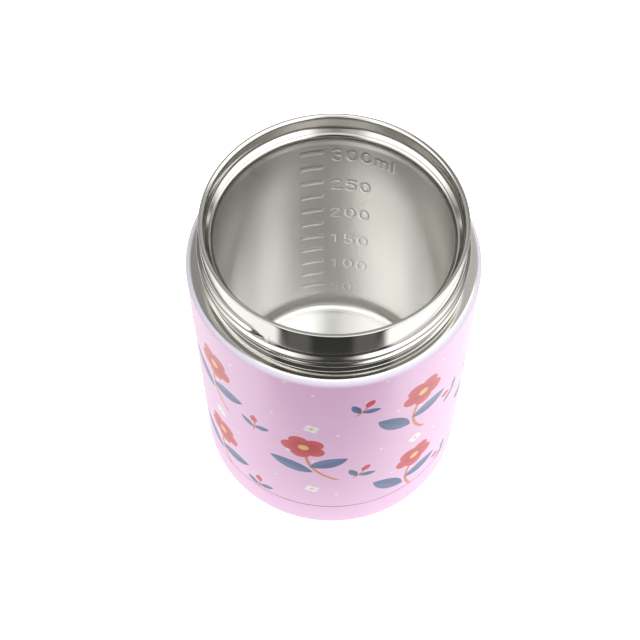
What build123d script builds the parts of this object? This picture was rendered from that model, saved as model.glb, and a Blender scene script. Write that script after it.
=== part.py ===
from build123d import *
import math
import os

# Insulated food jar, open, standing on its base. Millimetres, +Z up, origin at the centre of the
# base on the plane it stands on, -Y towards the front (the side opposite the volume scale).

# ---------------------------------------------------------------- driving dimensions
R_BODY = 41.7            # painted wall, outside
T_SHELL = 0.6            # drawn outer wall
T_LINER = 0.5            # drawn liner wall
T_COVER = 0.65           # base cup wall, equal to the depth of the shell's necked-in foot
H_RIM = 114.3            # top of the rim
Z_SEAM = 15.0            # lower edge of the painted wall, above the base cup
SEAM_GAP = 0.24          # open line between wall and base cup
EDGE_R = 0.3             # rounding of the two edges at that line
Z_FOOT = 4.0             # lower end of the shell's necked-in foot
R_ROUND = 1.9            # rounding from painted wall to shoulder
Z_ROUND = 95.5           # where the wall starts to round over
R_NECK = 36.8            # outside of the smooth neck
R_SKIRT = 37.65          # foot of the neck, where it stands on the flat shoulder
Z_SKIRT = 98.9           # the neck narrows from its foot up to this height
SKIRT_FIL = 0.15         # fillet at its foot
R_MOUTH_OUT = R_NECK - T_SHELL   # 36.2, the weld line between shell and liner
R_MOUTH_IN = 35.38       # inside of the rim, and outer edge of the gasket ledge
LIP_OUT = 0.3            # rounding of the rim's outer edge; its inner side takes the rest of its width
Z_LEDGE_OUT = 109.9
LEDGE_SLOPE = 43.0       # degrees from level, falling inwards
R_WELL = 33.36           # food well, inside
R_THROAT = 33.08         # narrowest place, where the gasket ledge rounds over into the well
THROAT_R = 3.0           # that rounding
THROAT_BACK = 8.0        # degrees by which the wall runs outwards again below it
BLEND_R = 8.0            # rounding from there into the straight wall
Z_FLOOR = 17.4           # flange round the floor of the well
R_FLOOR = 29.9           # weld line between liner and its pressed bottom
CORNER_R = 3.3           # inside corner of the well
DISH = 1.0               # how far the round bottom sinks towards its middle

THREAD_PITCH = 3.25
THREAD_HEIGHT = 1.15
THREAD_START = 0.15      # height of the ridge at its lower end; it grows over the first half turn
THREAD_HALF = 1.45       # half the ridge's width at its root
THREAD_Z_LOW = 98.69     # height of the ridge's middle at its lower end
THREAD_Z_TOP = 105.81    # and at its upper end
THREAD_A_LOW = 175.0     # direction of the lower end, degrees from +X

ML_TOP = 300             # highest volume mark
ML_LOW = 50
Z_ML_TOP = 102.0         # upper edge of the highest mark
ML_AREA = math.pi * R_WELL ** 2 / 1000.0      # ml per mm of height
MARK_HEIGHT = 0.16       # how far the marks stand inwards from the wall
MARK_S0, MARK_S1 = -10.5, -3.4                # arc length along the wall from +Y, towards +X
MARK_HIGH = 2.2
GLYPH_H, GLYPH_W, GLYPH_STEP = 5.1, 3.4, 4.3
STROKE = 0.8

Z_VAC = 9.0              # underside of the vacuum base
T_VAC = 0.6
R_VAC = R_BODY - T_COVER - T_SHELL            # 40.45, inside of the foot
R_EXHAUST = 1.0
FOIL_T = 0.15
FOIL_Z0, FOIL_Z1 = 22.0, 104.0
GETTER_X = 20.0
COVER_R = 3.6            # rounding of the base cup's lower edge
FOOT_R0, FOOT_R1 = 34.8, R_BODY - COVER_R     # flat ring it stands on
BASE_HOLLOW = 1.3        # how far the middle of the base is lifted


def ring(*edges):
    """A solid of revolution about +Z from a closed outline in the XZ plane."""
    face = make_face([Plane.XZ * e for e in edges])
    return revolve(face, Axis.Z, 360)


def line(*pts):
    return [Line(a, b) for a, b in zip(pts, pts[1:])]


def arc(c, r, a0, a1):
    """Arc about c from a0 to a1 degrees."""
    f = lambda a: (c[0] + r * math.cos(math.radians(a)), c[1] + r * math.sin(math.radians(a)))
    return [ThreePointArc(f(a0), f((a0 + a1) / 2), f(a1))]


def outline(*groups):
    """Joins groups of edges end to end with straight lines and closes the loop."""
    edges = [e for g in groups for e in g]
    out = []
    for i, e in enumerate(edges):
        out.append(e)
        n = edges[(i + 1) % len(edges)]
        if (e @ 1 - n @ 0).length > 1e-6:
            out.append(Line(e @ 1, n @ 0))
    return out


# ---------------------------------------------------------------- outer shell
r_in = R_BODY - T_SHELL
r_foot = R_BODY - T_COVER
c_round = (R_BODY - R_ROUND, Z_ROUND)
z_flat = Z_ROUND + R_ROUND                     # the shoulder is flat between the neck's foot and the rounding
a_skirt = math.degrees(math.atan2(R_SKIRT - R_NECK, Z_SKIRT - z_flat))
c_fil = (R_SKIRT + SKIRT_FIL * math.tan(math.radians(45 - a_skirt / 2)), z_flat + SKIRT_FIL)
lip_in = R_NECK - R_MOUTH_IN - LIP_OUT          # both walls end in one rounded weld bead
c_out = (R_NECK - LIP_OUT, H_RIM - LIP_OUT)
c_lip = (R_NECK - LIP_OUT, H_RIM - lip_in)
a_split = math.degrees(math.acos((R_MOUTH_OUT - c_lip[0]) / lip_in))
shell = ring(*outline(
    line((r_foot, Z_FOOT), (r_foot, Z_SEAM), (R_BODY - EDGE_R, Z_SEAM)),
    arc((R_BODY - EDGE_R, Z_SEAM + EDGE_R), EDGE_R, -90, 0),
    arc(c_round, R_ROUND, 0, 90),
    arc(c_fil, SKIRT_FIL, 270, 180 + a_skirt),
    line((R_NECK, Z_SKIRT), (R_NECK, Z_SKIRT + 0.5)),
    arc(c_out, LIP_OUT, 0, 90),
    arc(c_lip, lip_in, 90, a_split),
    line((R_MOUTH_OUT, Z_SKIRT), (R_SKIRT - T_SHELL, z_flat - T_SHELL)),
    arc(c_round, R_ROUND - T_SHELL, 90, 0),
    line((r_in, Z_SEAM + 1.2), (R_VAC, Z_SEAM - 0.4), (R_VAC, Z_FOOT)),
))

# one right-handed rolled thread, rising to the right on the front
b, h = THREAD_HALF, THREAD_HEIGHT
root = 0.12                                     # the ridge starts inside the wall, so it fuses cleanly
b_root = b + root * 0.48 * b / (0.62 * h)
profile = make_face([
    Line((-root, -b_root), (0.62 * h, -0.52 * b)),
    ThreePointArc((0.62 * h, -0.52 * b), (h, 0), (0.62 * h, 0.52 * b)),
    Line((0.62 * h, 0.52 * b), (-root, b_root)),
    Line((-root, b_root), (-root, -b_root)),
])


def ridge(z0, z1, a0, r=R_NECK):
    """Part of the thread between two heights of its middle, starting at a0 degrees from +X."""
    path = Helix(THREAD_PITCH * r / R_NECK, z1 - z0, r, center=(0, 0, z0))
    start = Plane(origin=path @ 0, x_dir=(1, 0, 0), z_dir=path % 0)
    return Rot(0, 0, a0) * sweep(start * profile, path=path, is_frenet=True)


# the first half turn runs about an axis set off sideways, so that the ridge rises out of the wall
off = (THREAD_HEIGHT - THREAD_START) / 2
a_full = math.radians(THREAD_A_LOW + 180)
z_full = THREAD_Z_LOW + THREAD_PITCH / 2
low = ridge(z_full - THREAD_PITCH / 2 * (R_NECK - off) / R_NECK, z_full, THREAD_A_LOW, R_NECK - off)
low = Pos(off * math.cos(a_full), off * math.sin(a_full), 0) * low
low = low - Pos(0, 0, 100) * Cylinder(R_NECK - T_SHELL / 2, 40)
high = ridge(z_full, THREAD_Z_TOP, THREAD_A_LOW + 180)
outer_shell = shell + low + high

# ---------------------------------------------------------------- inner liner
sl = math.radians(LEDGE_SLOPE)
r_thr = THROAT_R
led = R_MOUTH_IN - R_THROAT - r_thr * (1 - math.sin(sl))     # level length of the ledge's straight part
c_thr = (R_THROAT + r_thr, Z_LEDGE_OUT - led * math.tan(sl) - r_thr * math.cos(sl))
tb = math.radians(THROAT_BACK)
flare = R_WELL - R_THROAT - (r_thr + BLEND_R) * (1 - math.cos(tb))     # level length of the wall's sloping part
c_bl = (R_WELL - BLEND_R, c_thr[1] - (r_thr + BLEND_R) * math.sin(tb) - flare / math.tan(tb))
r_back = R_MOUTH_IN + T_LINER                                # outside of the liner at the step
z_back = Z_LEDGE_OUT + T_LINER * math.tan(sl) - T_LINER / math.cos(sl)
c_cor = (R_WELL - CORNER_R, Z_FLOOR + CORNER_R)
a_thr = 90 + LEDGE_SLOPE                        # where the throat rounding meets the ledge
liner = ring(*outline(
    arc(c_lip, lip_in, a_split, 180),
    line((R_MOUTH_IN, Z_LEDGE_OUT + 0.2), (R_MOUTH_IN - 0.14, Z_LEDGE_OUT - 0.14 * math.tan(sl))),
    arc(c_thr, r_thr, a_thr, 180 + THROAT_BACK),
    arc(c_bl, BLEND_R, THROAT_BACK, 0),
    arc(c_cor, CORNER_R, 0, -90),
    line((R_FLOOR, Z_FLOOR), (R_FLOOR, Z_FLOOR - T_LINER)),
    arc(c_cor, CORNER_R + T_LINER, -90, 0),
    arc(c_bl, BLEND_R + T_LINER, 0, THROAT_BACK),
    arc(c_thr, r_thr - T_LINER, 180 + THROAT_BACK, a_thr),
    line((r_back, z_back), (r_back, z_back + 1.9), (R_MOUTH_OUT, z_back + 2.4)),
))

# volume scale, standing inwards from the wall: a bar every 25 ml, plain numbers every 50 ml
W, H = GLYPH_W, GLYPH_H
m = STROKE / 2
GLYPHS = {
    "0": [("A", (W - m, H / 2), (W / 2, H - m), (m, H / 2)), ("A", (m, H / 2), (W / 2, m), (W - m, H / 2))],
    "1": [("L", (0.75, 3.95), (1.85, H - m)), ("L", (1.85, H - m), (1.85, m))],
    "2": [("A", (0.5, 3.7), (1.75, H - m), (2.9, 3.55)), ("L", (2.9, 3.55), (0.45, m)), ("L", (0.45, m), (3.0, m))],
    "3": [("A", (0.55, 4.2), (2.9, 3.75), (1.5, 2.7)), ("A", (1.5, 2.7), (2.95, 1.3), (0.45, 0.9))],
    "5": [("L", (2.9, H - m), (0.75, H - m)), ("L", (0.75, H - m), (0.6, 2.75)), ("A", (0.6, 2.75), (2.95, 1.9), (0.45, 0.75))],
    "m": [("L", (0.4, m), (0.4, 3.5)), ("A", (0.4, 2.5), (1.35, 3.4), (2.3, 2.5)), ("L", (2.3, 2.5), (2.3, m)),
          ("A", (2.3, 2.5), (3.25, 3.4), (4.2, 2.5)), ("L", (4.2, 2.5), (4.2, m))],
    "l": [("L", (0.4, m), (0.4, H - m))],
}
LABELS = {300: "300ml", 250: "250", 200: "200", 150: "150", 100: "100", 50: "50"}


def wall_plane(s, z):
    """Plane standing on the well's wall at arc length s, facing outwards, its x along the wall."""
    a = s / R_WELL
    out = Vector(math.sin(a), math.cos(a), 0)
    along = Vector(math.cos(a), -math.sin(a), 0)
    return Plane(origin=out * (R_WELL - 1.0) + Vector(0, 0, z), x_dir=along, z_dir=along.cross(Vector(0, 0, 1)))


def stamp(sketch, s, z):
    plane = wall_plane(s, z)
    amount = 2.0 if plane.z_dir.dot(Vector(math.sin(s / R_WELL), math.cos(s / R_WELL), 0)) > 0 else -2.0
    return extrude(plane * sketch, amount=amount)


def stroke(seg):
    """One pen stroke with round ends."""
    if seg[0] == "L":
        e = Line(seg[1], seg[2])
    else:
        e = ThreePointArc(seg[1], seg[2], seg[3])
    s = trace(e, STROKE)
    for p in (e @ 0, e @ 1):
        s = s + Pos(p.X, p.Y) * Circle(STROKE / 2)
    return s


def glyph(ch):
    if ch == "0":
        return Pos(W / 2, H / 2) * (Ellipse(W / 2, H / 2) - Ellipse(W / 2 - STROKE, H / 2 - STROKE))
    s = stroke(GLYPHS[ch][0])
    for seg in GLYPHS[ch][1:]:
        s = s + stroke(seg)
    return s


tools = []
for ml in range(ML_LOW, ML_TOP + 1, 25):
    z = Z_ML_TOP - (ML_TOP - ml) / ML_AREA
    s_mid = (MARK_S0 + MARK_S1) / 2
    tools.append(stamp(Rectangle(MARK_S1 - MARK_S0, MARK_HIGH), s_mid, z - MARK_HIGH / 2))
    s = -1.1
    for ch in LABELS.get(ml, ""):
        width = {"m": 4.6, "l": 0.8}.get(ch, W)
        tools.append(stamp(Pos(-width / 2, -H / 2) * glyph(ch), s + width / 2, z + 0.3 - H / 2))
        s += width + (GLYPH_STEP - W)
mark_limit = Pos(0, 0, H_RIM / 2) * (Cylinder(R_WELL + 0.2, H_RIM) - Cylinder(R_WELL - MARK_HEIGHT, H_RIM))
inner_liner = liner
for t in tools:
    inner_liner = inner_liner + (t & mark_limit)

# ---------------------------------------------------------------- round bottom of the liner, flush with its foot
r_flat = 4.0                                     # flat middle
r_mid = (r_flat + R_FLOOR) / 2
mid = Z_FLOOR - 0.75 * DISH
liner_bottom = ring(*outline(
    line((0, Z_FLOOR - DISH), (r_flat, Z_FLOOR - DISH)),
    [ThreePointArc((r_flat, Z_FLOOR - DISH), (r_mid, mid), (R_FLOOR, Z_FLOOR))],
    line((R_FLOOR, Z_FLOOR), (R_FLOOR, Z_FLOOR - T_LINER)),
    [ThreePointArc((R_FLOOR, Z_FLOOR - T_LINER), (r_mid, mid - T_LINER), (r_flat, Z_FLOOR - DISH - T_LINER))],
    line((r_flat, Z_FLOOR - DISH - T_LINER), (0, Z_FLOOR - DISH - T_LINER)),
))

# ---------------------------------------------------------------- radiation foil
copper_foil = ring(*outline(line(
    (R_WELL + T_LINER, FOIL_Z0), (R_WELL + T_LINER + FOIL_T, FOIL_Z0),
    (R_WELL + T_LINER + FOIL_T, FOIL_Z1), (R_WELL + T_LINER, FOIL_Z1), (R_WELL + T_LINER, FOIL_Z0))))

# ---------------------------------------------------------------- vacuum base, exhaust seal, getter
v0, v1 = Z_VAC, Z_VAC + T_VAC
vacuum_base = ring(*outline(
    line((R_EXHAUST, v0 + 1.6), (6.0, v0 + 1.6), (7.6, v0)),
    arc((R_VAC - 1.6, v0 - 1.0), 1.0, 90, 0),
    line((R_VAC - T_VAC, Z_FOOT + 0.6), (R_VAC, Z_FOOT + 0.6)),
    arc((R_VAC - 1.6, v1 - 1.6), 1.6, 0, 90),
    line((8.0, v1), (6.3, v1 + 1.6), (R_EXHAUST, v1 + 1.6)),
))
seal_bead = ring(*outline(
    line((0, v0 + 0.9), (2.4, v0 + 1.05), (3.4, v0 + 1.6), (R_EXHAUST, v0 + 1.6),
         (R_EXHAUST, v1 + 1.6), (0.7, v1 + 1.85), (0, v1 + 1.95), (0, v0 + 0.9))))
getter_tray = Pos(GETTER_X, 0, v1) * ring(*outline(
    line((0, 0), (6.0, 0), (6.0, 2.2), (5.6, 2.2), (5.6, 0.4), (0, 0.4), (0, 0))))
getter_pill = Pos(GETTER_X, 0, v1 + 0.4) * ring(*outline(
    line((0, 0), (5.6, 0), (5.6, 1.2), (5.0, 1.7), (0, 1.7), (0, 0))))

# ---------------------------------------------------------------- base cup
base_cover = ring(*outline(
    line((0, BASE_HOLLOW), (FOOT_R0 - 1.4, BASE_HOLLOW), (FOOT_R0, 0)),
    arc((FOOT_R1, COVER_R), COVER_R, -90, 0),
    arc((R_BODY - EDGE_R, Z_SEAM - SEAM_GAP - EDGE_R), EDGE_R, 0, 90),
    line((r_foot, Z_SEAM - SEAM_GAP), (r_foot, Z_SEAM - SEAM_GAP - 0.1)),
    arc((FOOT_R1, COVER_R), COVER_R - T_COVER, 0, -90),
    line((FOOT_R0 + 0.35, T_COVER), (FOOT_R0 - 1.05, BASE_HOLLOW + T_COVER), (0, BASE_HOLLOW + T_COVER)),
))

parts = {
    "outer_shell": outer_shell,
    "inner_liner": inner_liner,
    "liner_bottom": liner_bottom,
    "copper_foil": copper_foil,
    "vacuum_base": vacuum_base,
    "seal_bead": seal_bead,
    "getter_tray": getter_tray,
    "getter_pill": getter_pill,
    "base_cover": base_cover,
}
os.makedirs("parts", exist_ok=True)
for name, shape in parts.items():
    solids = shape.solids()
    shape = solids[0] if len(solids) == 1 else Compound(solids)
    export_step(shape, f"parts/{name}.step")
    print(name, len(solids), round(shape.volume, 1), shape.is_valid)
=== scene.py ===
import math

import bpy
import bmesh
import numpy as np
from mathutils import Matrix, Vector


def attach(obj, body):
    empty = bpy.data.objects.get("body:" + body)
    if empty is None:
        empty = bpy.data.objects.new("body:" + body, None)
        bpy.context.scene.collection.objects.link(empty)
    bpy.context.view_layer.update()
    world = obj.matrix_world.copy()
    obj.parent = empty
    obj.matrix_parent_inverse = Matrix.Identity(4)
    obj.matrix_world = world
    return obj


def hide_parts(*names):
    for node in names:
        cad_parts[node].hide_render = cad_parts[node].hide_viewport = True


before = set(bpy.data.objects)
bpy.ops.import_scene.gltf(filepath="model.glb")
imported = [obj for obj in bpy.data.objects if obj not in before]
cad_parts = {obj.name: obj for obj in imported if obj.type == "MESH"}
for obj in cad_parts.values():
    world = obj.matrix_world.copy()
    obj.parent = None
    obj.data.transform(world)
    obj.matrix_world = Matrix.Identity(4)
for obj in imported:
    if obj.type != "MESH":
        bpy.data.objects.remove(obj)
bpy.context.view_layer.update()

MM = 0.001

# ------------------------------------------------------------------ dimensions, as in the CAD model (mm)
R_BODY, T_SHELL, T_LINER, T_COVER = 41.7, 0.6, 0.5, 0.65
H_RIM, Z_SEAM, SEAM_GAP, EDGE_R, Z_FOOT = 114.3, 15.0, 0.24, 0.3, 4.0
R_ROUND, Z_ROUND, R_NECK = 1.9, 95.5, 36.8
R_MOUTH_OUT, R_MOUTH_IN, LIP_OUT = 36.2, 35.38, 0.3
Z_LEDGE_OUT, LEDGE_SLOPE = 109.9, 43.0
R_THROAT, THROAT_R, THROAT_BACK, BLEND_R = 33.08, 3.0, 8.0, 8.0
R_WELL, Z_FLOOR, R_FLOOR, CORNER_R, DISH = 33.36, 17.4, 29.9, 3.3, 1.0
PITCH, RIDGE, RIDGE_START = 3.25, 1.15, 0.15
Z_LOW, Z_TOP, A_LOW = 98.69, 105.81, 175.0
R_SKIRT, Z_SKIRT, SKIRT_FIL = 37.65, 98.9, 0.15
COVER_R, FOOT_R0, BASE_HOLLOW = 3.6, 34.8, 1.3
FOOT_R1 = R_BODY - COVER_R
R_VAC = R_BODY - T_COVER - T_SHELL


# ------------------------------------------------------------------ mesh helpers
def arc(c, r, a0, a1, n):
    return [(c[0] + r * math.cos(math.radians(a0 + (a1 - a0) * i / n)),
             c[1] + r * math.sin(math.radians(a0 + (a1 - a0) * i / n))) for i in range(n + 1)]


def run(p, q, step):
    """Points from p to q, both ends included, at most step apart."""
    n = max(1, math.ceil(math.dist(p, q) / step))
    return [(p[0] + (q[0] - p[0]) * i / n, p[1] + (q[1] - p[1]) * i / n) for i in range(n + 1)]


def join(*groups):
    out = []
    for g in groups:
        for p in g:
            if not out or math.dist(out[-1], p) > 1e-4:
                out.append(p)
    if math.dist(out[0], out[-1]) < 1e-4:
        out.pop()
    return out


def lathe(name, loop, angles, shape=None, slot_of=None, mats=()):
    """Closed solid of revolution. loop is the closed outline in mm, anticlockwise with r to the right;
    shape(r, z, angle array) moves a point in or out; slot_of(r, z) picks a face's material."""
    n, m = len(loop), len(angles)
    th = np.radians(np.asarray(angles))
    verts, index = [], []
    for i, (r, z) in enumerate(loop):
        if r < 1e-6:
            index.append([len(verts)] * m)
            verts.append((0.0, 0.0, z * MM))
            continue
        rr = np.full(m, r) if shape is None else shape(i, r, z, th)
        start = len(verts)
        verts.extend(zip(rr * np.cos(th) * MM, rr * np.sin(th) * MM, np.full(m, z * MM)))
        index.append(list(range(start, start + m)))
    faces, slots = [], []
    for i in range(n):
        k = (i + 1) % n
        a, b = index[i], index[k]
        mid = ((loop[i][0] + loop[k][0]) / 2, (loop[i][1] + loop[k][1]) / 2)
        s = 0 if slot_of is None else slot_of(i, *mid)
        for j in range(m):
            l = (j + 1) % m
            q = [a[j], a[l], b[l], b[j]]
            f = []
            for v in q:
                if v not in f:
                    f.append(v)
            if len(f) >= 3:
                faces.append(f)
                slots.append(s)
    me = bpy.data.meshes.new(name)
    me.from_pydata([tuple(map(float, v)) for v in verts], [], faces)
    for p, s in zip(me.polygons, slots):
        p.material_index = s
    bm = bmesh.new()
    bm.from_mesh(me)
    bmesh.ops.recalc_face_normals(bm, faces=bm.faces)
    bm.to_mesh(me)
    bm.free()
    me.polygons.foreach_set("use_smooth", [True] * len(me.polygons))
    me.set_sharp_from_angle(angle=math.radians(38))
    for mat in mats:
        me.materials.append(mat)
    ob = bpy.data.objects.new(name, me)
    bpy.context.scene.collection.objects.link(ob)
    return ob


# ------------------------------------------------------------------ node helpers
class Graph:
    """Small arithmetic on shader sockets, so that a pattern can be written as formulas."""

    def __init__(self, mat):
        self.nt = mat.node_tree
        self.nodes, self.links = self.nt.nodes, self.nt.links

    def new(self, kind, **props):
        n = self.nodes.new(kind)
        for k, v in props.items():
            setattr(n, k, v)
        return n

    def put(self, socket, value):
        if isinstance(value, S):
            self.links.new(value.s, socket)
        else:
            socket.default_value = value

    def math(self, op, *args, clamp=False):
        n = self.new("ShaderNodeMath", operation=op, use_clamp=clamp)
        for i, a in enumerate(args):
            self.put(n.inputs[i], a)
        return S(self, n.outputs[0])

    def mix(self, fac, a, b):
        n = self.new("ShaderNodeMix", data_type="RGBA", clamp_factor=True)
        self.put(n.inputs["Factor"], fac)
        for name, v in (("A", a), ("B", b)):
            sock = [s for s in n.inputs if s.name == name and s.type == "RGBA"][0]
            self.put(sock, v)
        return S(self, [s for s in n.outputs if s.type == "RGBA"][0])

    def step(self, d, soft):
        """1 inside (d below 0), 0 outside, blended over soft."""
        n = self.new("ShaderNodeMapRange", interpolation_type="SMOOTHSTEP")
        self.put(n.inputs["Value"], d)
        n.inputs["From Min"].default_value = -soft
        n.inputs["From Max"].default_value = soft
        n.inputs["To Min"].default_value = 1.0
        n.inputs["To Max"].default_value = 0.0
        return S(self, n.outputs[0])

    def ramp(self, v, a, b, c, d):
        n = self.new("ShaderNodeMapRange", interpolation_type="SMOOTHSTEP")
        self.put(n.inputs["Value"], v)
        for name, x in (("From Min", a), ("From Max", b), ("To Min", c), ("To Max", d)):
            n.inputs[name].default_value = x
        return S(self, n.outputs[0])

    def noise(self, vector, scale, detail=2.0, rough=0.5):
        n = self.new("ShaderNodeTexNoise")
        self.put(n.inputs["Vector"], vector)
        n.inputs["Scale"].default_value = scale
        n.inputs["Detail"].default_value = detail
        n.inputs["Roughness"].default_value = rough
        return S(self, n.outputs[0])

    def combine(self, x, y, z):
        n = self.new("ShaderNodeCombineXYZ")
        for i, v in enumerate((x, y, z)):
            self.put(n.inputs[i], v)
        return S(self, n.outputs[0])

    def separate(self, v):
        n = self.new("ShaderNodeSeparateXYZ")
        self.put(n.inputs[0], v)
        return [S(self, o) for o in n.outputs]

    def coords(self):
        return S(self, self.new("ShaderNodeTexCoord").outputs["Object"])


class S:
    def __init__(self, g, s):
        self.g, self.s = g, s

    def __add__(self, o): return self.g.math("ADD", self, o)
    def __radd__(self, o): return self.g.math("ADD", o, self)
    def __sub__(self, o): return self.g.math("SUBTRACT", self, o)
    def __rsub__(self, o): return self.g.math("SUBTRACT", o, self)
    def __mul__(self, o): return self.g.math("MULTIPLY", self, o)
    def __rmul__(self, o): return self.g.math("MULTIPLY", o, self)
    def __truediv__(self, o): return self.g.math("DIVIDE", self, o)
    def __neg__(self): return self.g.math("MULTIPLY", self, -1.0)


def fmin(a, b): return a.g.math("MINIMUM", a, b)
def fmax(a, b): return a.g.math("MAXIMUM", a, b)
def fabs(a): return a.g.math("ABSOLUTE", a)
def ffloor(a): return a.g.math("FLOOR", a)
def fsqrt(a): return a.g.math("SQRT", a)
def fsin(a): return a.g.math("SINE", a)
def fcos(a): return a.g.math("COSINE", a)
def fatan2(a, b): return a.g.math("ARCTAN2", a, b)
def fmod(a, b): return a.g.math("FLOORED_MODULO", a, b)


def material(name):
    mat = bpy.data.materials.new(name)
    mat.use_nodes = True
    g = Graph(mat)
    bsdf = next(n for n in g.nodes if n.type == "BSDF_PRINCIPLED")
    return mat, g, bsdf


def bump(g, bsdf, height, strength, distance):
    n = g.new("ShaderNodeBump")
    g.put(n.inputs["Height"], height)
    n.inputs["Strength"].default_value = strength
    n.inputs["Distance"].default_value = distance
    g.links.new(n.outputs[0], bsdf.inputs["Normal"])


# ------------------------------------------------------------------ materials
def steel(name, base, rough, rough_var=0.03, line_depth=0.0, grain=0.0, tint=0.03, painted_low_light=None):
    """Stainless steel: small patchy changes of gloss, fine lines running round the axis, fine grain; if a low colour is
    given, painted light low down and painted shade towards the mouth.
    """
    mat, g, b = material(name)
    p = g.coords()
    x, y, z = g.separate(p)
    a = fatan2(y, x)
    r = fsqrt(x * x + y * y)
    patch = g.noise(p, 70.0, 3.0)
    fine = g.noise(g.combine(a * 0.004, r, z), 9000.0, 2.0)
    b.inputs["Metallic"].default_value = 1.0
    dark = tuple(c * (1 - tint) for c in base)
    col = g.mix(patch, (*dark, 1), (*base, 1))
    if painted_low_light:
        # painted light and shade: the steel is painted brighter low down and darker towards the mouth, standing in for
        # how the light falls in the well
        col = g.mix(g.ramp(z, 0.045, 0.078, 0.0, 1.0), (*painted_low_light, 1), col)
        col = g.mix(g.ramp(z, 0.084, 0.105, 0.0, 1.0), col, (*[c * 0.70 for c in base], 1))
    g.put(b.inputs["Base Color"], col)
    g.put(b.inputs["Roughness"], rough + (patch - 0.5) * (2 * rough_var) + (fine - 0.5) * rough_var)
    height = None
    if line_depth:
        height = fine * line_depth
    if grain:
        gr = g.noise(p, 5200.0, 2.0) * grain
        height = gr if height is None else height + gr
    if height is not None:
        bump(g, b, height, 1.0, 1.0)
    return mat


def paint(name, printed):
    """Satin pink paint over steel, with a scattered floral print of a plain, general kind."""
    mat, g, b = material(name)
    p = g.coords()
    x, y, z = g.separate(p)
    ang = fatan2(x, y * -1.0)                 # 0 at the front, positive to the right
    s = ang * R_BODY                          # mm round the wall
    h = z * 1000.0                            # mm up
    cloud = g.noise(p, 28.0, 2.0)
    col = g.mix(cloud, (0.855, 0.530, 0.790, 1), (0.880, 0.560, 0.820, 1))
    if printed:
        col = floral(g, s, h, col)
        # painted highlight: the rounding below the bare shoulder is painted pale lavender-white, standing in for the
        # gloss highlight there
        painted_highlight_mask = g.ramp(h, Z_ROUND + 0.1, Z_ROUND + 1.1, 0.0, 1.0)
        col = g.mix(painted_highlight_mask, col, (0.700, 0.650, 0.760, 1))
    # painted shade: the paint is darkened along both edges of the seam, standing in for the shade in the groove between
    # shell and base cover
    col = g.mix(g.step(fabs(h - (Z_SEAM - SEAM_GAP / 2)) - 0.26, 0.08) * 0.75, col, (0.230, 0.150, 0.210, 1))
    g.put(b.inputs["Base Color"], col)
    peel = g.noise(p, 900.0, 2.0)
    speck = g.noise(p, 3600.0, 1.0)
    g.put(b.inputs["Roughness"], 0.36 + (peel - 0.5) * 0.08)
    b.inputs["IOR"].default_value = 1.5
    b.inputs["Coat Weight"].default_value = 0.3
    b.inputs["Coat Roughness"].default_value = 0.24
    bump(g, b, peel * 0.000035 + speck * 0.000006, 1.0, 1.0)
    return mat


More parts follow.
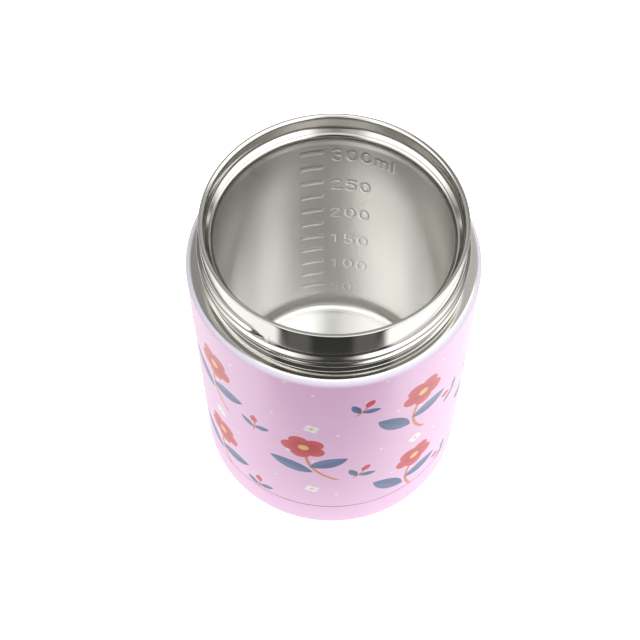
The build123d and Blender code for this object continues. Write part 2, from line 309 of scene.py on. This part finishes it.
def floral(g, s, h, ground):
    """Half-drop repeat of a five-petal flower on a stem, with small white blossoms and dots. Lengths in mm."""
    circ = 2 * math.pi * R_BODY
    cols, drop, middle, big = 8, 42.0, 49.0, 1.12
    wide = circ / cols
    RED = (0.54, 0.018, 0.040, 1)
    RED2 = (0.66, 0.050, 0.070, 1)
    BLUE = (0.070, 0.120, 0.295, 1)
    BLUE2 = (0.100, 0.165, 0.350, 1)
    VEIN = (0.035, 0.060, 0.180, 1)
    STEM = (0.70, 0.210, 0.075, 1)
    YELLOW = (0.90, 0.50, 0.16, 1)
    WHITE = (0.93, 0.88, 0.92, 1)
    soft = 0.10

    def cell(s0, h0, first):
        """Local coordinates in the repeat that holds this point, the column's number, and 1 where the
        repeat's middle is on the straight wall. Columns of number first, first + 2, ... are half a drop higher."""
        u = s + (circ / 2 + wide / 2 - s0)
        c = ffloor(u / wide)
        uu = fmod(u, wide) - wide / 2
        v = h - (middle + h0) + fmod(c + first, 2.0) * (drop / 2) + drop * 4.5
        vv = fmod(v, drop) - drop / 2
        keep = g.step(fabs(h - vv - middle) - 33.0, 0.5)
        return uu, vv, fmod(c, float(cols)), keep

    def turn(u, v, a):
        ca, sa = fcos(a), fsin(a)
        return u * ca + v * sa, v * ca - u * sa

    def disc(u, v, cx, cy, r):
        du, dv = u - cx, v - cy
        return fsqrt(du * du + dv * dv) - r

    def leaf(u, v, ox, oy, angle, length, width):
        """Pointed leaf from (ox, oy), the overlap of two circles; returns distance and place across it."""
        a = math.radians(angle)
        du, dv = u - ox, v - oy
        lx = du * math.cos(a) + dv * math.sin(a) - length / 2
        ly = dv * math.cos(a) - du * math.sin(a)
        R = (length * length / 4 + width * width / 4) / width
        off = R - width / 2
        a1, a2 = ly + off, ly - off
        d = fmax(fsqrt(lx * lx + a1 * a1), fsqrt(lx * lx + a2 * a2)) - R
        return d, lx, ly

    def bow(u, v, cx, cy, r, w, lo, hi):
        """Part of a thin ring between heights lo and hi."""
        d = fabs(disc(u, v, cx, cy, r)) - w
        return fmax(d, fmax(v - hi, lo - v))

    def petals(u, v, n, out, r):
        """n round petals about the origin."""
        rad = fsqrt(u * u + v * v)
        an = fmod(fatan2(v, u) + (math.pi / n + math.pi * 4), 2 * math.pi / n) - math.pi / n
        px, py = rad * fcos(an) - out, rad * fsin(an)
        return fsqrt(px * px + py * py) - r, rad, an

    col = ground

    def lay(d, colour, amount, softness=soft):
        nonlocal col
        col = g.mix(g.step(d, softness) * amount, col, colour)

    # white dots, under everything else
    u, v, c, keep = cell(-7.0 + wide / 2, -9.0, 1.0)
    for (cx, cy, r) in ((-7.2, 5.8, 0.55), (6.1, -8.2, 0.5), (-14.4, -12.3, 0.5), (10.5, 13.0, 0.55), (0.5, -17.2, 0.45)):
        lay(disc(u, v, cx, cy, r), WHITE, 1.0)

    # flowers on their stems
    u, v, c, keep = cell(-7.0, 0.0, 0.0)
    lean = fmod(c * 2.0, 5.0) * 0.13 - 0.28
    u, v = turn(u, v, lean)
    u, v = u * (1 / big), v * (1 / big)
    lay(bow(u, v, 15.5, 0.5, 15.4, 0.45, -12.5, 6.0), STEM, keep)
    for (ox, oy, an, ln, wd) in ((0.9, -7.6, 153, 13.0, 5.4), (0.2, -4.4, 24, 12.0, 5.0)):
        d, lx, ly = leaf(u, v, ox, oy, an, ln, wd)
        lay(d, g.mix(g.ramp(ly, -0.3, 0.6, 0.0, 1.0), BLUE, BLUE2), keep)
        lay(fmax(fabs(ly) - 0.12, d + 0.5), VEIN, keep * 0.5, 0.08)
        rib = fabs(fmod(lx + fabs(ly) * -0.9 + 20.0, 2.0) - 1.0) - 0.07
        lay(fmax(rib, d + 0.5), VEIN, keep * 0.22, 0.08)
    fu, fv = turn(u, v - 7.2, c * 0.7 + 0.3)
    d, rad, an = petals(fu, fv, 5, 3.45, 2.75)
    lay(d, g.mix(g.ramp(rad, 1.5, 5.8, 0.0, 1.0), RED, RED2), keep, soft * 1.2)
    lay(fmax(fabs(an) * rad - 0.10, fabs(rad - 3.1) - 1.2), (0.42, 0.020, 0.040, 1), keep * 0.6, 0.08)
    lay(rad - 1.45, YELLOW, keep)
    d, rad, an = petals(fu, fv, 7, 0.95, 0.16)
    lay(d, STEM, keep)

    # small sprigs of two leaves and a bud, between the columns
    u, v, c, keep = cell(-7.0 + wide / 2, -10.0, 0.0)
    u, v = turn(u, v, fmod(c * 3.0, 4.0) * 0.5 - 0.6)
    lay(bow(u, v, -40.0, 0.0, 40.0, 0.28, -3.6, 2.6), STEM, keep)
    for (ox, oy, an, ln, wd) in ((0.0, -1.2, 32, 5.6, 2.5), (-0.1, -1.9, 148, 5.6, 2.5)):
        d, lx, ly = leaf(u, v, ox, oy, an, ln, wd)
        lay(d, g.mix(g.ramp(ly, -0.2, 0.4, 0.0, 1.0), BLUE, BLUE2), keep)
    d, lx, ly = leaf(u, v, -0.4, 1.6, 95, 4.2, 2.5)
    lay(d, RED2, keep)

    # white blossoms
    u, v, c, keep = cell(-7.0, 21.0, 0.0)
    u, v = turn(u - 1.5, v, c * 0.9)
    d, rad, an = petals(u, v, 4, 1.35, 1.15)
    lay(d, WHITE, keep)
    lay(rad - 0.62, YELLOW, keep)
    return col


neck_steel = steel("steel_neck", (0.635, 0.624, 0.592), 0.10, 0.02, line_depth=0.0000006, tint=0.02)
# painted light: the flat shoulder gets a much brighter steel colour than the neck of the same shell, standing in for
# the light it catches from above
shoulder_steel_brightened = steel("steel_shoulder_painted_light", (0.860, 0.845, 0.800), 0.12, 0.02, line_depth=0.0000006, tint=0.02)
rim_steel = steel("steel_rim", (0.635, 0.624, 0.594), 0.12, 0.02, line_depth=0.0000008, tint=0.02)
# painted light and shade: the well's steel is painted brighter low down and darker towards the mouth
well_steel = steel("steel_well", (0.765, 0.756, 0.732), 0.28, 0.01, tint=0.012, painted_low_light=(0.850, 0.842, 0.820))
# painted light: the well's floor gets a brighter steel colour than the well wall, standing in for the light falling on
# it from above
floor_steel_brightened = steel("steel_well_floor_painted_light", (0.86, 0.86, 0.845), 0.19, 0.02, tint=0.02)
dull_steel = steel("steel_plain", (0.60, 0.59, 0.56), 0.38, 0.05, grain=0.000004, tint=0.06)
paint_print = paint("paint_printed", True)
paint_plain = paint("paint_base", False)

# ------------------------------------------------------------------ outer shell
r_foot = R_BODY - T_COVER
r_in = R_BODY - T_SHELL
c_round = (R_BODY - R_ROUND, Z_ROUND)
z_flat = Z_ROUND + R_ROUND                       # the shoulder is flat between the skirt and the rounding
a_skirt = math.degrees(math.atan2(R_SKIRT - R_NECK, Z_SKIRT - z_flat))
c_fil = (R_SKIRT + SKIRT_FIL * math.tan(math.radians(45 - a_skirt / 2)), z_flat + SKIRT_FIL)
p_fil = (c_fil[0] - SKIRT_FIL * math.cos(math.radians(a_skirt)), c_fil[1] - SKIRT_FIL * math.sin(math.radians(a_skirt)))
lip_in = R_NECK - R_MOUTH_IN - LIP_OUT
c_out = (R_NECK - LIP_OUT, H_RIM - LIP_OUT)
c_lip = (R_NECK - LIP_OUT, H_RIM - lip_in)
a_split = math.degrees(math.acos((R_MOUTH_OUT - c_lip[0]) / lip_in))
R_PAINT = 40.5                                   # the paint ends on the rounding
a_paint = math.degrees(math.acos((R_PAINT - c_round[0]) / R_ROUND))

outer = join(
    run((r_foot, Z_FOOT), (r_foot, Z_SEAM), 2.0),
    [(R_BODY - EDGE_R, Z_SEAM)],
    arc((R_BODY - EDGE_R, Z_SEAM + EDGE_R), EDGE_R, -90, 0, 5),
    run((R_BODY, Z_SEAM + EDGE_R), (R_BODY, Z_ROUND), 4.0),
    arc(c_round, R_ROUND, 0, a_paint, 8),
    arc(c_round, R_ROUND, a_paint, 90, 6),
    run((c_round[0], z_flat), (c_fil[0], z_flat), 0.5),
    arc(c_fil, SKIRT_FIL, 270, 180 + a_skirt, 8),
    run(p_fil, (R_NECK, Z_SKIRT), 0.14),
    run((R_NECK, Z_SKIRT), (R_NECK, 107.9), 0.14),
    run((R_NECK, 107.9), (R_NECK, c_out[1]), 1.0),
    arc(c_out, LIP_OUT, 0, 90, 6),
    arc(c_lip, lip_in, 90, a_split, 3),
)
inner = join(
    run((R_MOUTH_OUT, c_lip[1]), (R_MOUTH_OUT, Z_SKIRT), 4.0),
    [(R_SKIRT - T_SHELL, z_flat - T_SHELL)],
    arc(c_round, R_ROUND - T_SHELL, 90, 0, 5),
    run((r_in, Z_ROUND), (r_in, Z_SEAM + 1.2), 20.0),
    [(R_VAC, Z_SEAM - 0.4), (R_VAC, Z_FOOT)],
)
n_outer = len(outer)
turns = (Z_TOP - Z_LOW) / PITCH


def thread(i, r, z, th):
    """The rolled thread: a rounded ridge that grows over its first half turn and ends after a short taper."""
    if i >= n_outer or r > R_SKIRT + 0.01 or z < z_flat + 0.25 or z > 108:
        return np.full(len(th), r)
    t = (np.degrees(th) - A_LOW) % 360 / 360.0
    out = np.full(len(th), r)
    for k in range(4):
        tt = t + k
        zc = Z_LOW + PITCH * tt
        end = np.clip((turns - tt) / 0.03, 0, 1)
        amp = np.clip(tt / 0.01, 0, 1) * end * end * (3 - 2 * end)
        dz = z - zc
        sunk = (RIDGE - RIDGE_START) * 0.5 * (1 + np.cos(2 * np.pi * np.minimum(tt, 0.5)))
        full = np.maximum(RIDGE - 0.94 * (np.sqrt(dz * dz + 0.06) - 0.245) - sunk, -0.4)
        ridge = R_NECK + amp * full
        kk = 0.25
        hh = np.clip(0.5 + 0.5 * (ridge - out) / kk, 0, 1)
        sm = out * (1 - hh) + ridge * hh + kk * hh * (1 - hh)
        out = np.where(amp > 0, np.maximum(np.minimum(sm, R_NECK + RIDGE), out), out)
    return out


def shell_slot(i, r, z):
    if i >= n_outer - 1:
        return 2
    if r > R_PAINT - 0.02 or z < 90:
        return 0 if z > Z_SEAM - 0.2 else 2
    return 3 if z < z_flat + 0.03 else 1


STEPS = 480
shell = lathe("outer_shell_finish", outer + inner, [360 * j / STEPS for j in range(STEPS)], thread, shell_slot,
              (paint_print, neck_steel, dull_steel, shoulder_steel_brightened))
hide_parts("outer_shell")
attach(shell, "root")

# ------------------------------------------------------------------ liner with the pressed scale
W, H, STROKE, STEP = 3.4, 5.1, 0.8, 4.3
m_ = STROKE / 2


def bend(p, q, r, n=14):
    """Points on the arc through p, q, r."""
    ax, ay, bx, by, cx, cy = *p, *q, *r
    d = 2 * (ax * (by - cy) + bx * (cy - ay) + cx * (ay - by))
    ux = ((ax * ax + ay * ay) * (by - cy) + (bx * bx + by * by) * (cy - ay) + (cx * cx + cy * cy) * (ay - by)) / d
    uy = ((ax * ax + ay * ay) * (cx - bx) + (bx * bx + by * by) * (ax - cx) + (cx * cx + cy * cy) * (bx - ax)) / d
    R = math.hypot(ax - ux, ay - uy)
    a0, a1, a2 = (math.atan2(t[1] - uy, t[0] - ux) for t in (p, q, r))
    if (a1 - a0) % (2 * math.pi) < (a2 - a0) % (2 * math.pi):
        sweep = (a2 - a0) % (2 * math.pi)
    else:
        sweep = -((a0 - a2) % (2 * math.pi))
    return [(ux + R * math.cos(a0 + sweep * i / n), uy + R * math.sin(a0 + sweep * i / n)) for i in range(n + 1)]


GLYPHS = {
    "0": [[(W / 2 + (W / 2 - m_) * math.cos(t * math.pi / 18), H / 2 + (H / 2 - m_) * math.sin(t * math.pi / 18)) for t in range(37)]],
    "1": [[(0.75, 3.95), (1.85, H - m_), (1.85, m_)]],
    "2": [bend((0.5, 3.7), (1.75, H - m_), (2.9, 3.55)) + [(0.45, m_), (3.0, m_)]],
    "3": [bend((0.55, 4.2), (2.9, 3.75), (1.5, 2.7)), bend((1.5, 2.7), (2.95, 1.3), (0.45, 0.9))],
    "5": [[(2.9, H - m_), (0.75, H - m_), (0.6, 2.75)] + bend((0.6, 2.75), (2.95, 1.9), (0.45, 0.75))],
    "m": [[(0.4, m_), (0.4, 3.5)], bend((0.4, 2.5), (1.35, 3.4), (2.3, 2.5)) + [(2.3, m_)], bend((2.3, 2.5), (3.25, 3.4), (4.2, 2.5)) + [(4.2, m_)]],
    "l": [[(0.4, m_), (0.4, H - m_)]],
}
LABELS = {300: "300ml", 250: "250", 200: "200", 150: "150", 100: "100", 50: "50"}
ML = math.pi * R_WELL ** 2 / 1000.0
strokes, bars, rows = [], [], []
for ml in range(50, 301, 25):
    z = 102.0 - (300 - ml) / ML
    bars.append((-10.5, -3.4, z - 2.2, z))
    s = -1.1
    for ch in LABELS.get(ml, ""):
        for line in GLYPHS[ch]:
            strokes.append([(s + x, z + 0.3 - H + y) for x, y in line])
        s += {"m": 4.6, "l": 0.8}.get(ch, W) + (STEP - W)
    rows.append((z - (5.5 if ml in LABELS else 2.9), z + 0.95))


def pressed(s, z):
    """How far the wall stands inwards at arc length s (mm, array) and height z."""
    d = np.full(len(s), 9.0)
    for line in strokes:
        zs = [q[1] for q in line]
        if z < min(zs) - 1 or z > max(zs) + 1:
            continue
        for (x0, y0), (x1, y1) in zip(line, line[1:]):
            bx, by = x1 - x0, y1 - y0
            L = bx * bx + by * by
            if L < 1e-9:
                continue
            t = np.clip(((s - x0) * bx + (z - y0) * by) / L, 0, 1)
            d = np.minimum(d, np.hypot(s - x0 - t * bx, z - y0 - t * by))
    w = 0.55
    high = 0.04 + 0.11 * min(max((z - 22.0) / 80.0, 0.0), 1.0)
    out = high * np.where(d < w, 0.5 * (1 + np.cos(np.pi * np.minimum(d / w, 1))), 0)
    for s0, s1, z0, z1 in bars:
        if z0 - 1 < z < z1 + 1:
            k = np.clip((np.minimum(s - s0, s1 - s) + 0.15) / 0.45, 0, 1)
            k = k * min(max((z1 - z + 0.12) / 0.34, 0.0), 1.0) * min(max((z - z0 + 0.12) / 1.2, 0.0), 1.0)
            out = np.maximum(out, high * k * k * (3 - 2 * k))
    return out


zs = [Z_FLOOR + CORNER_R]
sl, tb = math.radians(LEDGE_SLOPE), math.radians(THROAT_BACK)
led = R_MOUTH_IN - R_THROAT - THROAT_R * (1 - math.sin(sl))
c_thr = (R_THROAT + THROAT_R, Z_LEDGE_OUT - led * math.tan(sl) - THROAT_R * math.cos(sl))
flare = R_WELL - R_THROAT - (THROAT_R + BLEND_R) * (1 - math.cos(tb))
c_bl = (R_WELL - BLEND_R, c_thr[1] - (THROAT_R + BLEND_R) * math.sin(tb) - flare / math.tan(tb))
r_back = R_MOUTH_IN + T_LINER
z_back = Z_LEDGE_OUT + T_LINER * math.tan(sl) - T_LINER / math.cos(sl)
a_thr = 90 + LEDGE_SLOPE
z_top_wall = c_bl[1]
z = Z_FLOOR + CORNER_R
while z < z_top_wall:
    fine = any(lo - 0.3 <= z <= hi for lo, hi in rows)
    z += 0.22 if fine else 0.9
    zs.append(min(z, z_top_wall))
c_cor = (R_WELL - CORNER_R, Z_FLOOR + CORNER_R)
foot_ledge = (R_WELL + THROAT_R + THROAT_R * math.cos(math.radians(a_thr)), c_thr[1] + THROAT_R * math.sin(math.radians(a_thr)))
well_side = join(
    arc(c_lip, lip_in, a_split, 180, 14),
    run((R_MOUTH_IN, c_lip[1]), (R_MOUTH_IN, Z_LEDGE_OUT + 0.2), 0.7),
    run((R_MOUTH_IN - 0.14, Z_LEDGE_OUT - 0.14 * math.tan(sl)), foot_ledge, 0.4),
    arc(c_thr, THROAT_R, a_thr, 180 + THROAT_BACK, 20),
    arc(c_bl, BLEND_R, THROAT_BACK, 0, 6),
    [(R_WELL, zz) for zz in reversed(zs)],
    arc(c_cor, CORNER_R, 0, -90, 20),
    [(R_FLOOR, Z_FLOOR)],
)
n_well = len(well_side)
vac_side = join(
    [(R_FLOOR, Z_FLOOR - T_LINER)],
    arc(c_cor, CORNER_R + T_LINER, -90, 0, 6),
    run((R_WELL + T_LINER, Z_FLOOR + CORNER_R), (R_WELL + T_LINER, z_top_wall), 30.0),
    arc(c_bl, BLEND_R + T_LINER, 0, THROAT_BACK, 3),
    arc(c_thr, THROAT_R - T_LINER, 180 + THROAT_BACK, a_thr, 8),
    [(r_back, z_back), (r_back, z_back + 1.9), (R_MOUTH_OUT, z_back + 2.4)],
)
scale_a = [90 - math.degrees(s / R_WELL) for s in np.arange(20.0, -12.01, -0.22)]
coarse = np.linspace(scale_a[-1], scale_a[0] + 360, 170)[1:-1]
liner_angles = list(scale_a) + list(coarse)


def press(i, r, z, th):
    if i >= n_well or abs(r - R_WELL) > 1e-3 or z < 22 or z > 103.6:
        return np.full(len(th), r)
    s = (math.pi / 2 - th + math.pi) % (2 * math.pi) - math.pi
    return r - pressed(s * R_WELL, z)


def liner_slot(i, r, z):
    if i >= n_well - 1:
        return 2
    return 1 if z > c_thr[1] + 0.6 else 0


liner = lathe("inner_liner_finish", well_side + vac_side, liner_angles, press, liner_slot, (well_steel, rim_steel, dull_steel))
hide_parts("inner_liner")
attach(liner, "root")

# ------------------------------------------------------------------ floor of the well
top = join(
    [(0.0, Z_FLOOR - DISH)],
    [(r, Z_FLOOR - DISH * (1 - (r / R_FLOOR) ** 2)) for r in np.linspace(1.0, R_FLOOR - 0.25, 30)],
    [(R_FLOOR - 0.1, Z_FLOOR - 0.03), (R_FLOOR, Z_FLOOR)],
)
under = [(r, z - T_LINER) for r, z in reversed(top)]
disc_ob = lathe("liner_bottom_finish", top + under, [360 * j / 240 for j in range(240)], None, None, (floor_steel_brightened,))
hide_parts("liner_bottom")
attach(disc_ob, "root")

# ------------------------------------------------------------------ base cup
cup_out = join(
    [(0.0, BASE_HOLLOW)],
    run((1.0, BASE_HOLLOW), (FOOT_R0 - 1.9, BASE_HOLLOW), 4.0),
    [(FOOT_R0 - 1.3, BASE_HOLLOW - 0.08), (FOOT_R0 - 0.9, BASE_HOLLOW - 0.4), (FOOT_R0 - 0.45, 0.35), (FOOT_R0 - 0.1, 0.06), (FOOT_R0 + 0.4, 0.0)],
    arc((FOOT_R1, COVER_R), COVER_R, -90, 0, 12),
    run((R_BODY, COVER_R), (R_BODY, Z_SEAM - SEAM_GAP - EDGE_R), 3.0),
    arc((R_BODY - EDGE_R, Z_SEAM - SEAM_GAP - EDGE_R), EDGE_R, 0, 90, 5),
    [(R_BODY - T_COVER, Z_SEAM - SEAM_GAP)],
)
n_cup = len(cup_out)
cup_in = join(
    run((R_BODY - T_COVER, Z_SEAM - SEAM_GAP - 0.1), (R_BODY - T_COVER, COVER_R), 4.0),
    arc((FOOT_R1, COVER_R), COVER_R - T_COVER, 0, -90, 6),
    [(FOOT_R0 + 0.35, T_COVER), (FOOT_R0 - 1.05, BASE_HOLLOW + T_COVER), (0.0, BASE_HOLLOW + T_COVER)],
)
cup = lathe("base_cover_finish", cup_out + cup_in, [360 * j / 300 for j in range(300)], None,
            lambda i, r, z: 0 if i < n_cup - 1 else 1, (paint_plain, dull_steel))
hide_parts("base_cover")
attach(cup, "root")


# ------------------------------------------------------------------ pieces inside the vacuum and the base
def wear(node, mat):
    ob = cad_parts[node]
    ob.data.materials.clear()
    ob.data.materials.append(mat)


def foil_material():
    mat, g, b = material("copper_foil_wrap")
    p = g.coords()
    x, y, z = g.separate(p)
    n = g.noise(g.combine(fatan2(y, x) * 0.03, z, z), 60.0, 3.0)
    b.inputs["Metallic"].default_value = 1.0
    g.put(b.inputs["Base Color"], g.mix(n, (0.78, 0.36, 0.22, 1), (0.90, 0.50, 0.34, 1)))
    g.put(b.inputs["Roughness"], 0.22 + n * 0.12)
    bump(g, b, n * 0.00008, 1.0, 1.0)
    return mat


def bead_material():
    mat, g, b = material("solder_glass_bead")
    n = g.noise(g.coords(), 900.0, 2.0)
    g.put(b.inputs["Base Color"], g.mix(n, (0.03, 0.035, 0.04, 1), (0.07, 0.08, 0.09, 1)))
    b.inputs["Roughness"].default_value = 0.12
    return mat


def getter_material():
    mat, g, b = material("getter_tablet")
    n = g.noise(g.coords(), 2500.0, 3.0)
    g.put(b.inputs["Base Color"], g.mix(n, (0.10, 0.10, 0.105, 1), (0.22, 0.22, 0.225, 1)))
    b.inputs["Roughness"].default_value = 0.8
    bump(g, b, n * 0.00004, 1.0, 1.0)
    return mat


wear("copper_foil", foil_material())
wear("vacuum_base", dull_steel)
wear("getter_tray", dull_steel)
wear("seal_bead", bead_material())
wear("getter_pill", getter_material())


# ------------------------------------------------------------------ camera
SCALE = 41.7 * MM
pitch, yaw, roll = math.radians(59.21), -0.0188, 0.0018
d = Vector((math.sin(yaw) * math.cos(pitch), math.cos(yaw) * math.cos(pitch), -math.sin(pitch)))
right = Vector((math.cos(yaw), -math.sin(yaw), 0.0))
up = right.cross(d)
r2 = right * math.cos(roll) + up * math.sin(roll)
u2 = -right * math.sin(roll) + up * math.cos(roll)
cam_data = bpy.data.cameras.new("camera")
cam_data.sensor_fit = "HORIZONTAL"
cam_data.sensor_width = 36.0
cam_data.lens = 1298.6 / 640 * 36.0
cam_data.clip_start = 0.01
cam_data.clip_end = 50.0
cam = bpy.data.objects.new("camera", cam_data)
bpy.context.scene.collection.objects.link(cam)
rot = Matrix((r2, u2, -d)).transposed()
cam.matrix_world = Matrix.Translation((0.0, -4.857 * SCALE, 9.616 * SCALE)) @ rot.to_4x4()
bpy.context.scene.camera = cam


# ------------------------------------------------------------------ studio
def sheet(name, x0, x1, y0, y1, z, mat, camera=True, light=True):
    me = bpy.data.meshes.new(name)
    me.from_pydata([(x0, y0, z), (x1, y0, z), (x1, y1, z), (x0, y1, z)], [], [(0, 1, 2, 3)])
    me.materials.append(mat)
    ob = bpy.data.objects.new(name, me)
    bpy.context.scene.collection.objects.link(ob)
    ob.visible_camera = camera
    ob.visible_diffuse = ob.visible_glossy = ob.visible_transmission = light
    ob.visible_shadow = light
    return ob


def glow(name, colour, strength=1.0):
    """Evenly lit white, a little uneven as real paper is."""
    mat, g, b = material(name)
    n = g.noise(g.coords(), 8.0, 2.0)
    g.put(b.inputs["Base Color"], g.mix(n, (*[c * 0.985 for c in colour], 1), (*colour, 1)))
    b.inputs["Roughness"].default_value = 0.9
    b.inputs["Specular IOR Level"].default_value = 0.0
    b.inputs["Emission Color"].default_value = (1, 1, 1, 1)
    b.inputs["Emission Strength"].default_value = strength
    return mat


def table_material():
    """The lit table top as the jar sees it: bright all round, dark in front of the jar."""
    mat, g, b = material("stage_table")
    x, y, z = g.separate(g.coords())
    az = fabs(fatan2(x, y * -1.0)) * (180 / math.pi)
    side = g.ramp(az, TABLE_AZ[0], TABLE_AZ[1], 0.0, 1.0)
    near = g.ramp(y, TABLE_Y[0], TABLE_Y[1], 0.0, 1.0)
    lit = fmax(fmax(side, near), g.ramp(az, 12.0, 19.0, 0.0, 0.07) * g.ramp(az, 30.0, 36.0, 1.0, 0.0))
    r = fsqrt(x * x + y * y)
    far = g.ramp(r, 0.16, 0.34, 1.0, TABLE_FAR) * g.ramp(x, -0.09, 0.09, TABLE_LEFT, TABLE_RIGHT) * g.ramp(y, 0.0, 0.10, 1.0, 0.80)
    b.inputs["Base Color"].default_value = (0, 0, 0, 1)
    b.inputs["Specular IOR Level"].default_value = 0.0
    b.inputs["Emission Color"].default_value = (1.0, 0.995, 0.975, 1)
    g.put(b.inputs["Emission Strength"], lit * far * g.ramp(r, 0.05, 0.095, 0.72, 1.0) + DARK)
    return mat


TABLE_AZ, TABLE_Y, TABLE_LEFT, TABLE_RIGHT, TABLE_FAR, DARK = (35.5, 43.0), (-0.086, -0.050), 1.36, 1.58, 0.18, 0.05
white = glow("stage_white", (0.93, 0.93, 0.93))
# the pale floor and backdrop as they are seen
sheet("floor", -6, 6, -6, 6, 0.0, white, camera=True, light=False)
drop = bpy.data.meshes.new("backdrop")
ring = [(5.9 * math.cos(math.radians(a)), 5.9 * math.sin(math.radians(a))) for a in range(0, 360, 6)]
drop.from_pydata([(x, y, 0.0) for x, y in ring] + [(x, y, 6.0) for x, y in ring], [],
                 [(i, (i + 1) % 60, 60 + (i + 1) % 60, 60 + i) for i in range(60)])
drop.materials.append(white)
backdrop = bpy.data.objects.new("backdrop", drop)
bpy.context.scene.collection.objects.link(backdrop)
backdrop.visible_diffuse = backdrop.visible_glossy = backdrop.visible_transmission = backdrop.visible_shadow = False
# what lights and reflects in the jar from below
sheet("table_light", -6, 6, -6, 6, -0.0004, table_material(), camera=False, light=True)

world = bpy.data.worlds.new("studio")
world.use_nodes = True
g = Graph(world)
bg = next(n for n in g.nodes if n.type == "BACKGROUND")
dx, dy, dz = g.separate(S(g, g.new("ShaderNodeTexCoord").outputs["Generated"]))
el = g.math("ARCSINE", dz) * (180 / math.pi)
side = fatan2(dx, dy * -1.0) * (180 / math.pi)      # 0 in front, positive to the right
az = fabs(side)


def band(v, lo, hi, soft):
    return g.ramp(v, lo - soft, lo + soft, 0.0, 1.0) * g.ramp(v, hi - soft, hi + soft, 1.0, 0.0)


def lerp(a, b, f):
    return a + (b - a) * f


L_HORIZON, L_BACK_LEFT, L_BACK_RIGHT, L_TOP, L_LEFT, L_RIGHT, L_MID, L_LOW, L_GAP, L_FRONT_LOW = 0.58, 0.28, 0.50, 1.80, 1.72, 2.02, 1.18, 0.06, 0.30, 0.12
high = fmax(el - 32.0, 0.0)
box_right = g.ramp(side, 10.0, 26.0, 0.0, 1.0) * g.ramp(side - fmin(high * 1.5, 45.0), 97.0, 113.0, 1.0, 0.0) * band(el, 6, 72, 8)
box_left = g.ramp(-side - high * 0.25, 14.0, 30.0, 0.0, 1.0) * g.ramp(-side + high * 0.55, 90.0, 108.0, 1.0, 0.0) * band(el, 6, 70, 8)
light = el * 0.0 + L_HORIZON
light = lerp(light, g.ramp(side, -150, 150, L_BACK_LEFT, L_BACK_RIGHT), g.ramp(az, 95, 115, 0.0, 1.0) * g.ramp(el, 42, 54, 0.0, 1.0))
light = lerp(light, L_MID, g.ramp(az, 20, 40, 1.0, 0.0) * g.ramp(el, 26, 34, 0.0, 1.0))
light = lerp(light, L_TOP, g.ramp(el, 65, 80, 0.0, 1.0))
light = lerp(light, L_LEFT, box_left)
light = lerp(light, L_RIGHT, box_right)
light = lerp(light, L_LOW, g.ramp(az + fmax(el - 5.0, 0.0) * 0.9, 20, 34, 1.0, 0.0) * g.ramp(el, 24, 33, 1.0, 0.0))
light = lerp(light, L_FRONT_LOW, g.ramp(az, 45, 85, 1.0, 0.0) * g.ramp(el, 7, 13, 1.0, 0.0))
light = lerp(light, L_GAP, g.ramp(az, 5, 16, 1.0, 0.0) * band(el, 53, 67, 3))
bg.inputs["Color"].default_value = (1.0, 1.0, 0.99, 1)
g.put(bg.inputs["Strength"], light)
bpy.context.scene.world = world

scene = bpy.context.scene
scene.view_settings.view_transform = "Standard"
scene.view_settings.look = "None"
scene.view_settings.exposure = 0.0
scene.view_settings.gamma = 1.0
scene.cycles.max_bounces = 16
scene.cycles.glossy_bounces = 12
scene.cycles.diffuse_bounces = 5
